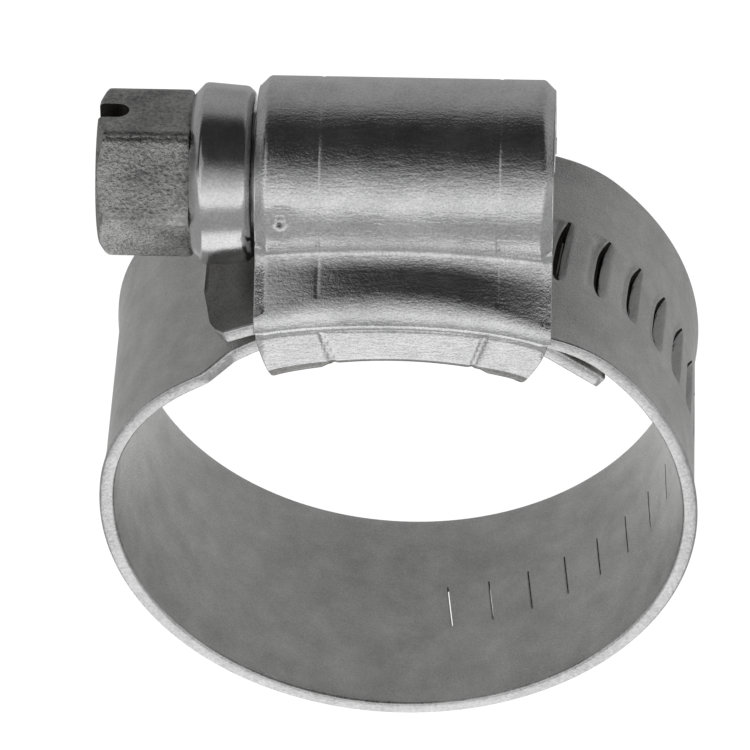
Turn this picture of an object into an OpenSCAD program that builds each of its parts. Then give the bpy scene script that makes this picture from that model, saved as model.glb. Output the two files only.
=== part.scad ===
// Worm-drive hose clamp: a threaded steel band drawn through a pressed housing by a screw.
// Millimetres. X is the screw axis (hex head at -X), Y the ring axis, +Z up through the housing.
// The origin is the centre of the ring, halfway across the band.

/* [Band] */
// Width of the band
band_w = 12.7; // [9:0.1:14]
// Thickness of the band
band_t = 0.7; // [0.6:0.05:0.8]
// Bore radius of the round part of the ring
bore_r = 13.55; // [13.3:0.05:13.7]
// How far the turned-out edges stand above the band
edge_lift = 0.18; // [0:0.02:0.25]
// Width of each turned-out edge
edge_w = 0.95; // [0.5:0.05:1.2]
// How much each edge is cut back where the band enters the housing
notch_d = 0.9; // [0.6:0.1:1.2]
// How much each edge is cut back along the tail
tail_cut = 0.75; // [0.3:0.05:1]

/* [Threads] */
// Distance between two threads of the band, measured along its mid-line
thread_p = 2.2; // [2:0.05:2.3]
// Length of a band thread across the band
thread_l = 4.2; // [3:0.1:5]
// Width of a band thread along the band, at the surface
thread_w = 1; // [0.95:0.05:1.1]
// Depth of a band thread, pressed in from outside
thread_d = 0.4; // [0.35:0.05:0.45]
// Number of threads pressed beyond the shoulder
thread_n = 16; // [8:1:18]

/* [Screw] */
// Width of the hex head across its flats
hex_af = 7; // [5.5:0.1:7.5]
// Length of the hex head
hex_l = 4.37; // [3:0.01:5]
// Turn of the hex head about its axis, to one corner from +Y
hex_turn = 52; // [0:1:59]
// Width of the screwdriver slot
slot_w = 1.1; // [0.8:0.1:1.5]
// Depth of the screwdriver slot
slot_d = 1.45; // [1:0.05:2]
// Largest radius of the collar
collar_r = 4.3; // [3.8:0.05:4.3]
// Crest radius of the worm
worm_r = 3.5; // [3.4:0.05:3.5]
// Depth of the worm thread
worm_d = 0.45; // [0.3:0.05:0.5]

/* [Housing] */
// Outer radius of the barrel over the worm
barrel_r = 4.68; // [4.4:0.02:5]
// Height of the screw axis above the ring centre
axis_z = 16.15; // [16.1:0.05:16.6]
// Left end of the housing
house_x0 = -6.6; // [-6.7:0.1:-6.5]
// Right end of the housing
house_x1 = 7.3; // [7.2:0.1:7.5]
// Half width over the skirts
skirt_y = 7.15; // [7.1:0.05:7.4]
// Sheet thickness
sheet_t = 0.7; // [0.6:0.05:0.75]

/* [Hidden] */
$fn = 96;
slip = 0.01;

// Mid-line of the band: arcs that meet without a corner, angles from +Z towards +X.
ring_r = bore_r + band_t / 2;
saddle_c = [0.4, -7.8];
saddle_r = 20.35;
fillet_r = 6;
saddle_d = norm(saddle_c);
to_ring = -saddle_c / saddle_d;
fillet_a = (pow(saddle_d, 2) + pow(saddle_r - fillet_r, 2) - pow(ring_r - fillet_r, 2))
  / (2 * saddle_d);
fillet_h = sqrt(pow(saddle_r - fillet_r, 2) - pow(fillet_a, 2));
fillet_c = saddle_c + fillet_a * to_ring + fillet_h * [to_ring[1], -to_ring[0]];
fillet_a0 = atan2(fillet_c[0] - saddle_c[0], fillet_c[1] - saddle_c[1]);
fillet_a1 = atan2(fillet_c[0], fillet_c[1]);
fillet_mid = (fillet_a0 + fillet_a1) / 2;

// Fixed end: a flatter saddle under the moving band, and a bend down to the left shoulder.
bed_c = [0, -7.8];
bed_r = 19.35;
bend_r = 9;
bend_x = -4;
bend_slope = 33.1;
bend_a0 = asin(bend_x / bed_r);
bend_c = bed_c + (bed_r - bend_r) * toward(bend_a0);
flat_l = 3.35;
flat_start = bend_c + bend_r * toward(-bend_slope);
flat_end = flat_start - flat_l * [cos(bend_slope), sin(bend_slope)];
flat_n = toward(-bend_slope);
shoulder_r = (pow(ring_r, 2) - pow(norm(flat_end), 2)) / (2 * (ring_r - flat_end * flat_n));
shoulder_c = flat_end - shoulder_r * flat_n;
shoulder_a = 360 + atan2(shoulder_c[0], shoulder_c[1]);
tongue_x = 6.3;
tongue_r = 4;
tongue_slope = 38;
tongue_l = 2.75;
tongue_a0 = asin(tongue_x / bed_r);
tongue_c = bed_c + (bed_r - tongue_r) * toward(tongue_a0);

// Flex lines: every fourth thread, the first two three threads apart.
first_step = 3 * thread_p;
step = 4 * thread_p;
fillet_half = (fillet_a1 - fillet_mid) * PI / 180 * fillet_r;
flex_a2 = fillet_a1 + deg(first_step - fillet_half, ring_r);
flex_a = [for (i = [0 : 5]) flex_a2 + i * deg(step, ring_r)];
last_s = step - (shoulder_a - flex_a[5]) * PI / 180 * ring_r;
last_a = shoulder_a + deg(last_s, shoulder_r);
gap = 0.07;
gap_1 = 0.26;
gap_2 = 0.2;
gap_open = 0.5;
link_end_a = -18.5;

// Threads of the band sit at fixed lengths from the first flex line.
thread_s0 = -1.3;
thread_slant = 7;
thread_floor = 0.5;
slit = 0.15;
tip_a = -27.8;
tail_threads = 7;

// Worm: its pitch is the thread pitch of the band spread out by the bow of the saddle.
mesh_r = saddle_r + (band_t - thread_d) / 2;
worm_p = thread_p * mesh_r / saddle_r;
mesh_a = fillet_a0 - deg(-thread_s0 + 3 * thread_p - fillet_half, saddle_r);
steep_x = saddle_c[0] + mesh_r * sin(mesh_a);
crest_w = 0.36;
worm_x = steep_x - crest_w / 2 - 0.2;
flank_w = 0.22;
head_x = -14.06;
collar_x = head_x + hex_l;
collar_l = 2.92;
collar_r1 = collar_r - 0.15;
neck_r = 2.9;
journal_r = 2.3;
running = 0.08;
neck_x1 = house_x0 + 0.75;
worm_x0 = -5.3;
worm_x1 = 6.4;
tip_x = 7.2;

// Housing section: barrel, hollow waist and round-shouldered skirt.
waist_c = [6.2, -0.35];
waist_r = norm(waist_c) - barrel_r;
hip_r = 1.2;
hip_y = skirt_y - hip_r;
hip_z = waist_c[1] - sqrt(pow(waist_r + hip_r, 2) - pow(waist_c[0] - hip_y, 2));
hem_r = bed_r - band_t / 2 - 0.65;
lip_w = 1.25;
lip_x0 = -3.3;
lip_x1 = 5.6;
end_t = 0.65;
end_z = 13.35;
chamfer = 0.5;

function toward(a) = [sin(a), cos(a)];
function deg(s, r) = s / r * 180 / PI;

// Section of the band in a radial plane: [radius, across].
module band_section(r, w, lift) {
  in_r = r - band_t / 2;
  out_r = r + band_t / 2;
  h = w / 2;
  polygon([
    [in_r, -h + edge_w], [in_r + lift, -h], [out_r + lift, -h], [out_r, -h + edge_w],
    [out_r, h - edge_w], [out_r + lift, h], [in_r + lift, h], [in_r, h - edge_w]
  ]);
}

// Curved piece of band about the centre c, from angle a0 to a1.
module band_arc(c, r, a0, a1, w = band_w, lift = edge_lift) {
  translate([c[0], 0, c[1]])
    rotate([90, 0, 0])
      rotate([0, 0, 90 - a1])
        rotate_extrude(angle = a1 - a0)
          band_section(r, w, lift);
}

// Points of an arc that is r from c, from angle a0 to a1.
function arc_points(c, r, a0, a1, n) = [for (i = [0 : n]) c + r * toward(a0 + (a1 - a0) * i / n)];

// Side view of the band's bent end, set out from the mid-line by d: shoulder, flat and bend.
function neck_line(d) = concat(
  arc_points(shoulder_c, shoulder_r + d, last_a + deg(gap / 2, shoulder_r), 360 - bend_slope, 10),
  arc_points(bend_c, bend_r + d, -bend_slope, link_end_a, 5)
);

// Side view of the fixed end, set out from the mid-line by d: bend, bed and tongue.
function bed_line(d) = concat(
  arc_points(bend_c, bend_r + d, link_end_a + deg(gap_open, bend_r), bend_a0, 3),
  arc_points(bed_c, bed_r + d, bend_a0 + 2, tongue_a0, 14),
  arc_points(tongue_c, tongue_r + d, tongue_a0 + 4, tongue_slope, 4),
  [tongue_c + (tongue_r + d) * toward(tongue_slope)
    + tongue_l * [cos(tongue_slope), -sin(tongue_slope)]]
);

// Strip of band with a given side view, between two places across the band.
module strip(inner, outer, y0, y1) {
  translate([0, y1, 0])
    rotate([90, 0, 0])
      linear_extrude(y1 - y0)
        polygon(concat(outer, [for (i = [len(inner) - 1 : -1 : 0]) inner[i]]));
}

// Places its children at an angle on an arc: local X runs along the band, Z points out.
module on_arc(c, r, a) {
  translate([c[0] + r * sin(a), 0, c[1] + r * cos(a)])
    rotate([0, a, 0])
      children();
}

// Cutter for one band thread: ramp, floor and a steep wall at local X = 0, slit through at its foot.
module thread_cut() {
  above = 0.2;
  run = (thread_w - thread_floor) / thread_d;
  floor_z = band_t / 2 - thread_d;
  rotate([0, 0, -thread_slant])
    translate([0, thread_l / 2, 0])
      rotate([90, 0, 0])
        linear_extrude(thread_l)
          polygon([
            [-thread_w - above * run, band_t / 2 + above], [0, band_t / 2 + above], [0, -band_t],
            [-slit, -band_t], [-slit, floor_z], [-thread_floor, floor_z]
          ]);
}

// Puts its children at every band thread that lies between two lengths from the first flex line.
module at_threads(s0, s1) {
  for (i = [-tail_threads + 1 : thread_n - 1]) {
    s = thread_s0 + i * thread_p;
    if (s > s0 && s < s1) at_length(s) children();
  }
}

// Puts its children at a length along the mid-line from the first flex line.
module at_length(s) {
  if (s < -fillet_half) on_arc(saddle_c, saddle_r, fillet_a0 - deg(-s - fillet_half, saddle_r))
    children();
  else if (s < fillet_half) on_arc(fillet_c, fillet_r, fillet_mid + deg(s, fillet_r))
    children();
  else on_arc([0, 0], ring_r, fillet_a1 + deg(s - fillet_half, ring_r))
    children();
}

// Link of the round part between two flex lines; s0 is the length at its start.
module round_link(a0, a1, s0, gap0 = gap) {
  difference() {
    band_arc([0, 0], ring_r, a0 + deg(gap0 / 2, ring_r), a1 - deg(gap / 2, ring_r));
    at_threads(s0 - thread_w, s0 + step + thread_w) thread_cut();
  }
}

// Link of the round part that has no threads.
module plain_link(a0, a1) {
  band_arc([0, 0], ring_r, a0 + deg(gap / 2, ring_r), a1 - deg(gap / 2, ring_r));
}

module band_link_1() color([0.62, 0.62, 0.61]) {
  difference() {
    union() {
      band_arc(fillet_c, fillet_r, fillet_mid + deg(gap_1 / 2, fillet_r), fillet_a1 + slip);
      band_arc([0, 0], ring_r, fillet_a1, flex_a[0] - deg(gap_2 / 2, ring_r));
    }
    at_threads(-thread_w, first_step + thread_w) thread_cut();
  }
}

module band_link_2() color([0.62, 0.62, 0.61])
  round_link(flex_a[0], flex_a[1], first_step, gap_2);
module band_link_3() color([0.62, 0.62, 0.61])
  round_link(flex_a[1], flex_a[2], first_step + step);
module band_link_4() color([0.62, 0.62, 0.61])
  round_link(flex_a[2], flex_a[3], first_step + 2 * step);
module band_link_5() color([0.62, 0.62, 0.61])
  plain_link(flex_a[3], flex_a[4]);
module band_link_6() color([0.62, 0.62, 0.61])
  plain_link(flex_a[4], flex_a[5]);

module band_link_7() color([0.62, 0.62, 0.61]) {
  band_arc([0, 0], ring_r, flex_a[5] + deg(gap / 2, ring_r), shoulder_a);
  band_arc(shoulder_c, shoulder_r, shoulder_a, last_a - deg(gap / 2, shoulder_r));
}

// Last link: left shoulder, the cut-back neck and the bend that runs into the housing.
module band_link_8() color([0.62, 0.62, 0.61]) {
  neck_y = band_w / 2 - notch_d;
  neck_x = -7.5;
  ramp = 1.5;
  strip(neck_line(-band_t / 2), neck_line(band_t / 2), -neck_y, neck_y);
  for (side = [-1, 1])
    intersection() {
      strip(
        neck_line(edge_lift - band_t / 2), neck_line(edge_lift + band_t / 2),
        min(side * (neck_y - 0.2), side * band_w / 2), max(side * (neck_y - 0.2), side * band_w / 2)
      );
      linear_extrude(ring_r)
        polygon([
          [-2 * ring_r, 0], [neck_x, 0], [neck_x, side * (neck_y - 0.1)],
          [neck_x - ramp, side * (band_w / 2 + 0.1)], [-2 * ring_r, side * (band_w / 2 + 0.1)]
        ]);
    }
}

// Threaded tail that passes under the worm: narrowed inside the housing, with a blunt rounded tip.
module band_tail() color([0.56, 0.56, 0.55]) {
  tip_x0 = saddle_c[0] + saddle_r * sin(tip_a);
  tail_y = band_w / 2 - tail_cut;
  clear_y = band_w / 2 + 1;
  taper_x = -3;
  taper_l = 2.5;
  // Shoulder and nose of the tip: [from the end of the tail, in from its edge]
  shoulder = [1.1, 0];
  cheek = [0.4, 1];
  nose = [-0.3, 5];
  difference() {
    union() {
      band_arc(saddle_c, saddle_r, tip_a, fillet_a0 + slip);
      band_arc(fillet_c, fillet_r, fillet_a0, fillet_mid - deg(gap_1 / 2, fillet_r));
    }
    at_threads(-8 * thread_p, thread_w) thread_cut();
    for (side = [-1, 1])
      linear_extrude(2 * ring_r)
        polygon(concat(
          [[tip_x0 - 1, side * clear_y], [taper_x, side * clear_y], [taper_x, side * band_w / 2]],
          [[taper_x - taper_l, side * tail_y]],
          [for (p = [shoulder, cheek, nose]) [tip_x0 + p[0], side * (tail_y - p[1])]],
          [[tip_x0 - 1, side * (tail_y - nose[1])]]
        ));
  }
}

// Fixed end of the band: the bed that the housing is closed on, and the tongue under the band.
module band_fixed_end() color([0.58, 0.58, 0.57]) {
  neck_y = band_w / 2 - notch_d;
  strip(bed_line(-band_t / 2), bed_line(band_t / 2), -neck_y, neck_y);
}

// Half outline of the housing, set in from the outside by d: [across, above the screw axis].
function half_outline(d) = let (
  a0 = atan2(waist_c[1], waist_c[0]),
  a1 = atan2(waist_c[1] - hip_z, waist_c[0] - hip_y),
  bottom = -axis_z
) concat(
  [for (i = [0 : 24]) let (a = 90 + (a0 - 90) * i / 24) (barrel_r - d) * [cos(a), sin(a)]],
  [for (i = [1 : 12]) let (a = 180 + a0 + (a1 - a0) * i / 12)
    waist_c + (waist_r + d) * [cos(a), sin(a)]],
  [for (i = [0 : 12]) let (a = a1 * (12 - i) / 12)
    [hip_y, hip_z] + (hip_r - d) * [cos(a), sin(a)]],
  [[skirt_y - d, bottom]]
);

// Solid housing section, both halves.
module outline(d) {
  half = half_outline(d);
  polygon(concat(half, [for (i = [len(half) - 1 : -1 : 1]) [-half[i][0], half[i][1]]]));
}

// Extrudes a section drawn as [Y, Z] along X.
module along_x(x0, x1) {
  translate([x0, 0, 0])
    rotate([90, 0, 90])
      linear_extrude(x1 - x0)
        children();
}

// Turned body about the screw axis, drawn as [radius, X].
module about_screw() {
  translate([0, 0, axis_z])
    rotate([0, 90, 0])
      rotate_extrude()
        children();
}

// End wall of the barrel with the round hole that the screw runs in.
module end_wall(x0, hole_r) {
  difference() {
    intersection() {
      along_x(x0, x0 + end_t)
        translate([0, axis_z])
          circle(barrel_r - sheet_t / 2);
      translate([x0, -barrel_r, end_z])
        cube([end_t, 2 * barrel_r, 2 * barrel_r]);
    }
    translate([x0 - 1, 0, axis_z])
      rotate([0, 90, 0])
        cylinder(h = end_t + 2, r = hole_r);
  }
}

module housing() color([0.78, 0.78, 0.79]) {
  hem_l = house_x1 - house_x0;
  difference() {
    union() {
      difference() {
        along_x(house_x0, house_x1)
          translate([0, axis_z])
            outline(0);
        along_x(house_x0 - 1, house_x1 + 1)
          translate([0, axis_z])
            outline(sheet_t);
      }
      end_wall(house_x0, neck_r + running);
      end_wall(house_x1 - end_t, journal_r + running);
      intersection() {
        difference() {
          translate([0, skirt_y - slip, bed_c[1]])
            rotate([90, 0, 0])
              cylinder(h = 2 * (skirt_y - slip), r = bed_r - band_t / 2);
          translate([0, skirt_y, bed_c[1]])
            rotate([90, 0, 0])
              cylinder(h = 2 * skirt_y, r = hem_r);
        }
        for (side = [-1, 1])
          translate([lip_x0, side * (skirt_y - sheet_t / 2) - (lip_w + sheet_t) / 2 - side * lip_w / 2, 0])
            cube([lip_x1 - lip_x0, lip_w + sheet_t, axis_z]);
      }
    }
    // hem of the skirt, cut to the curve of the band
    translate([0, skirt_y + 1, bed_c[1]])
      rotate([90, 0, 0])
        cylinder(h = 2 * skirt_y + 2, r = hem_r);
    translate([house_x0 - 1, -skirt_y - 1, -ring_r])
      cube([hem_l + 2, 2 * skirt_y + 2, ring_r + 5]);
    // bevels round both ends of the barrel
    about_screw()
      polygon([
        [barrel_r - chamfer, house_x1 + slip], [barrel_r + 1, house_x1 + slip],
        [barrel_r + 1, house_x1 - chamfer - 1]
      ]);
    about_screw()
      polygon([
        [barrel_r - chamfer, house_x0 - slip], [barrel_r + 1, house_x0 - slip],
        [barrel_r + 1, house_x0 + chamfer + 1]
      ]);
  }
}

// Polar radius of the worm section at angle a from its crest.
function worm_radius(a) = let (
  x = abs(a) / 360 * worm_p,
  rise = (crest_w / 2 + flank_w - x) / flank_w
) worm_r - worm_d + worm_d * max(0, min(1, rise));

// Worm thread: its section turns once in every pitch.
module worm_thread() {
  l = worm_x1 - worm_x0;
  turn = -90 - 360 * (worm_x - worm_x0) / worm_p;
  corner_a = crest_w / 2 / worm_p * 360;
  foot_a = (crest_w / 2 + flank_w) / worm_p * 360;
  angles = concat(
    [for (i = [0 : 5]) corner_a * (i / 2.5 - 1)],
    [foot_a],
    [for (i = [1 : 11]) foot_a + (360 - 2 * foot_a) * i / 12],
    [360 - foot_a]
  );
  translate([worm_x0, 0, axis_z])
    rotate([90, 0, 90])
      rotate([0, 0, turn])
        linear_extrude(l, twist = -360 * l / worm_p, slices = 90, $fn = 20)
          polygon([for (a = angles) worm_radius(a > 180 ? a - 360 : a) * [cos(a), sin(a)]]);
}

module worm_screw() color([0.66, 0.65, 0.64]) {
  cone_l = 2;
  slot_r = slot_w / 2;
  difference() {
    intersection() {
      translate([head_x, 0, axis_z])
        rotate([90, 0, 90])
          rotate([0, 0, hex_turn])
            cylinder(h = hex_l, r = hex_af / sqrt(3), $fn = 6);
      about_screw()
        polygon([
          [0, head_x], [hex_af / 2 - 0.05, head_x],
          [hex_af / 2 - 0.05 + cone_l * sqrt(3), head_x + cone_l],
          [hex_af, collar_x], [0, collar_x]
        ]);
    }
    translate([head_x, 0, axis_z])
      rotate([hex_turn + 30, 0, 0])
        translate([-slip, -hex_af, -slot_r])
          cube([slot_d - slot_r + slip, 2 * hex_af, slot_w]);
    translate([head_x + slot_d - slot_r, 0, axis_z])
      rotate([hex_turn + 30, 0, 0])
        translate([0, hex_af, 0])
          rotate([90, 0, 0])
            cylinder(h = 2 * hex_af, r = slot_r);
  }
  about_screw()
    polygon([
      [0, collar_x], [collar_r - 0.6, collar_x], [collar_r, collar_x + 0.55],
      [collar_r1, collar_x + collar_l - 0.33], [collar_r1 - 0.3, collar_x + collar_l],
      [neck_r, collar_x + collar_l], [neck_r, neck_x1],
      [journal_r, neck_x1 + neck_r - journal_r], [journal_r, worm_x0 + 0.3], [0, worm_x0 + 0.3]
    ]);
  about_screw()
    polygon([
      [0, worm_x1 - 0.3], [journal_r, worm_x1 - 0.3], [journal_r, tip_x - 0.3],
      [journal_r - 0.3, tip_x], [0, tip_x]
    ]);
  worm_thread();
}

housing();
worm_screw();
band_fixed_end();
band_tail();
band_link_1();
band_link_2();
band_link_3();
band_link_4();
band_link_5();
band_link_6();
band_link_7();
band_link_8();
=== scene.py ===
# Worm-drive hose clamp: a threaded band drawn through a pressed housing by a hex-headed worm screw.
# Shapes are in millimetres: X along the screw (head at -X), Y along the ring's axis, Z up.
# "s" is a length along the band, "n" a distance out from its mid-line, "e" a normal's elevation in degrees.
import math

import bmesh
import bpy
from mathutils import Matrix, Vector


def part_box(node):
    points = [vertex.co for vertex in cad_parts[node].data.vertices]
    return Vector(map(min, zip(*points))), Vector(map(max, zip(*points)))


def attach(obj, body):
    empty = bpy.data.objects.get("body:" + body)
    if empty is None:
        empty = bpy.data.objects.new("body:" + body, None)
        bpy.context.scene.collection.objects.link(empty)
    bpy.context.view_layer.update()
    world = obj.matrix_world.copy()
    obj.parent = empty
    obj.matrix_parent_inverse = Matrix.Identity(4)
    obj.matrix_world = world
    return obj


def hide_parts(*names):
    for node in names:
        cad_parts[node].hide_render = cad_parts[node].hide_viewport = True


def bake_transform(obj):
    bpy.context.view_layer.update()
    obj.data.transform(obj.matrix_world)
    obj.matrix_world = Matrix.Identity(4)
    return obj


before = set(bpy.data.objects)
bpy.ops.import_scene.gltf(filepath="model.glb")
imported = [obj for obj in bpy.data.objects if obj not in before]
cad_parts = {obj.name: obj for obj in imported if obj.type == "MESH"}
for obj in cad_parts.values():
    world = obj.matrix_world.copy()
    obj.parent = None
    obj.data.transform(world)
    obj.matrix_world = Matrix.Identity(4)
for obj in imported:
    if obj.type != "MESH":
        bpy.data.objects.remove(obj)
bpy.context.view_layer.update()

MM = 0.001

# ---------------------------------------------------------------- dimensions
screw_lo, screw_hi = (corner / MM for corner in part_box("worm_screw"))
house_lo, house_hi = (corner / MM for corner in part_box("housing"))
HOUSE_X0, HOUSE_X1, SKIRT_Y = house_lo.x, house_hi.x, house_hi.y
AXIS_Z = (screw_lo.z + screw_hi.z) / 2
BARREL_R, SHEET = house_hi.z - AXIS_Z, 0.7

BAND_W, BAND_T = 2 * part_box("band_link_4")[1].y / MM, 0.7
EDGE_LIFT, EDGE_W, NOTCH = 0.18, 0.95, 0.9
HALF = BAND_W / 2

# Mid-line of the band: centres are (x, z), angles run from +Z towards +X.
RING_R = 13.9
SADDLE_C, SADDLE_R = (0.4, -7.8), 20.35
FILLET_R = 6.0
BED_C, BED_R = (0.0, -7.8), 19.35
BEND_R, BEND_X, BEND_SLOPE, FLAT_L = 9.0, -4.0, 33.1, 3.35
LINK_END_A = -18.5
TONGUE_X, TONGUE_R, TONGUE_SLOPE, TONGUE_L = 6.3, 4.0, 38.0, 2.75
TIP_A = -27.8

# Threads pressed into the band: pitch, place of the first, and the shape of one.
THREAD_P, THREAD_S0, SLANT = 2.2, -1.3, math.tan(math.radians(7))
THREAD_L, THREAD_W, THREAD_FLOOR, THREAD_D, SLIT = 4.2, 1.0, 0.5, 0.4, 0.15
THREADS = [THREAD_S0 + THREAD_P * i for i in range(-6, 16)]


def toward(a):
    return math.sin(math.radians(a)), math.cos(math.radians(a))


def smooth(t):
    t = max(0.0, min(1.0, t))
    return t * t * (3 - 2 * t)


def ramp(x, a, b):
    """Rises smoothly from 0 at a to 1 at b."""
    return smooth((x - a) / (b - a))


def bell(x, centre, width):
    return math.exp(-(((x - centre) / width) ** 2))


def steps(marks, size):
    """Stations from the first mark to the last, through all of them, at most size apart."""
    marks = sorted(marks)
    out = [marks[0]]
    for a, b in zip(marks, marks[1:]):
        if b - a < 1e-4:
            continue
        n = max(1, math.ceil((b - a) / size - 1e-6))
        out += [a + (b - a) * i / n for i in range(1, n + 1)]
    return out


# ---------------------------------------------------------------- band mid-line
def arc(c, r, a0, a1):
    """Stretch of an arc about c from angle a0 to a1: its length, and the place at a length along it."""
    length = abs(math.radians(a1 - a0)) * r

    def place(s):
        a = a0 + (a1 - a0) * s / length
        t = toward(a)
        return c[0] + r * t[0], c[1] + r * t[1], a

    return length, place


def line(p, a, length):
    """Straight stretch from p whose outward normal is at angle a."""
    def place(s):
        t = toward(a)
        return p[0] + s * t[1], p[1] - s * t[0], a

    return length, place


def path_point(path, s, y, n):
    """Point at a length along a path, y across it and n out from it."""
    for length, place in path:
        if s <= length:
            break
        s -= length
    else:
        s += length
    x, z, a = place(s)
    t = toward(a)
    return x + n * t[0], y, z + n * t[1]


def along(c, r, a):
    """Point at angle a on the circle of radius r about c."""
    t = toward(a)
    return c[0] + r * t[0], c[1] + r * t[1]


def fillet_between():
    """Centre and end angles of the fillet that joins the saddle to the round part."""
    d = math.hypot(*SADDLE_C)
    ex, ez = -SADDLE_C[0] / d, -SADDLE_C[1] / d
    a = (d * d + (SADDLE_R - FILLET_R) ** 2 - (RING_R - FILLET_R) ** 2) / (2 * d)
    h = math.sqrt((SADDLE_R - FILLET_R) ** 2 - a * a)
    c = (SADDLE_C[0] + a * ex + h * ez, SADDLE_C[1] + a * ez - h * ex)
    a0 = math.degrees(math.atan2(c[0] - SADDLE_C[0], c[1] - SADDLE_C[1]))
    return c, a0, math.degrees(math.atan2(c[0], c[1]))


FILLET_C, FILLET_A0, FILLET_A1 = fillet_between()
FILLET_HALF = math.radians((FILLET_A1 - FILLET_A0) / 2) * FILLET_R

BEND_A0 = math.degrees(math.asin(BEND_X / BED_R))
BEND_C = along(BED_C, BED_R - BEND_R, BEND_A0)
FLAT_N = toward(-BEND_SLOPE)
flat_start = along(BEND_C, BEND_R, -BEND_SLOPE)
FLAT_END = (flat_start[0] - FLAT_L * FLAT_N[1], flat_start[1] + FLAT_L * FLAT_N[0])

# The shoulder is tangent to the flat at its end and to the round part of the ring.
flat_out = FLAT_END[0] * FLAT_N[0] + FLAT_END[1] * FLAT_N[1]
SHOULDER_R = (RING_R**2 - FLAT_END[0] ** 2 - FLAT_END[1] ** 2) / (2 * (RING_R - flat_out))
SHOULDER_C = tuple(FLAT_END[i] - SHOULDER_R * FLAT_N[i] for i in (0, 1))
SHOULDER_A = 360 + math.degrees(math.atan2(*SHOULDER_C))

# From the tip of the tail, round the ring, to the end of the last link.
STRIP = [
    arc(SADDLE_C, SADDLE_R, TIP_A, FILLET_A0),
    arc(FILLET_C, FILLET_R, FILLET_A0, FILLET_A1),
    arc((0, 0), RING_R, FILLET_A1, SHOULDER_A),
    arc(SHOULDER_C, SHOULDER_R, SHOULDER_A, 360 - BEND_SLOPE),
    line(FLAT_END, 360 - BEND_SLOPE, FLAT_L),
    arc(BEND_C, BEND_R, -BEND_SLOPE, LINK_END_A),
]
# Lengths are counted from the first flex line, in the middle of the fillet.
STRIP_S0 = -(STRIP[0][0] + FILLET_HALF)
STRIP_S1 = STRIP_S0 + sum(length for length, _ in STRIP)

TONGUE_A0 = math.degrees(math.asin(TONGUE_X / BED_R))
TONGUE_C = along(BED_C, BED_R - TONGUE_R, TONGUE_A0)
# From the end of the last link, under the housing, to the end of the tongue.
BED = [
    arc(BEND_C, BEND_R, LINK_END_A + math.degrees(0.2 / BEND_R), BEND_A0),
    arc(BED_C, BED_R, BEND_A0, TONGUE_A0),
    arc(TONGUE_C, TONGUE_R, TONGUE_A0, TONGUE_SLOPE),
    line(along(TONGUE_C, TONGUE_R, TONGUE_SLOPE), TONGUE_SLOPE, TONGUE_L),
]
BED_L = sum(length for length, _ in BED)


def strip_point(s, y, n):
    return path_point(STRIP, s - STRIP_S0, y, n)


# ---------------------------------------------------------------- materials
def add(nt, kind, **sockets):
    node = nt.nodes.new(kind)
    for key, value in sockets.items():
        node.inputs[key.replace("_", " ")].default_value = value
    return node


def math_node(nt, op, a, b):
    n = nt.nodes.new("ShaderNodeMath")
    n.operation = op
    for i, v in enumerate((a, b)):
        if isinstance(v, (int, float)):
            n.inputs[i].default_value = v
        else:
            nt.links.new(v, n.inputs[i])
    return n.outputs["Value"]


def ranged(nt, value, a, b, lo, hi):
    n = add(nt, "ShaderNodeMapRange", From_Min=a, From_Max=b, To_Min=lo, To_Max=hi)
    nt.links.new(value, n.inputs["Value"])
    return n.outputs["Result"]


def mapped(nt, scale):
    """Object coordinates in mm, stretched by scale."""
    coords = nt.nodes.new("ShaderNodeTexCoord")
    mapping = add(nt, "ShaderNodeMapping", Scale=tuple(v / MM for v in scale))
    nt.links.new(coords.outputs["Object"], mapping.inputs["Vector"])
    return mapping.outputs["Vector"]


def noise(nt, vector, scale, detail, roughness):
    n = add(nt, "ShaderNodeTexNoise", Scale=scale, Detail=detail, Roughness=roughness)
    nt.links.new(vector, n.inputs["Vector"])
    return n.outputs["Fac"]


def shades(nt, value, dark, light):
    n = nt.nodes.new("ShaderNodeMix")
    n.data_type = "RGBA"
    n.inputs["A"].default_value = (*dark, 1)
    n.inputs["B"].default_value = (*light, 1)
    nt.links.new(value, n.inputs["Factor"])
    return n.outputs["Result"]


def bump(nt, bsdf, height, distance):
    b = add(nt, "ShaderNodeBump", Strength=1.0, Distance=distance * MM)
    nt.links.new(height, b.inputs["Height"])
    nt.links.new(b.outputs["Normal"], bsdf.inputs["Normal"])


def material(name, base, rough, metallic):
    m = bpy.data.materials.new(name)
    m.use_nodes = True
    bsdf = m.node_tree.nodes["Principled BSDF"]
    bsdf.inputs["Metallic"].default_value = metallic
    bsdf.inputs["Base Color"].default_value = (*base, 1)
    bsdf.inputs["Roughness"].default_value = rough
    return m, m.node_tree, bsdf


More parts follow.
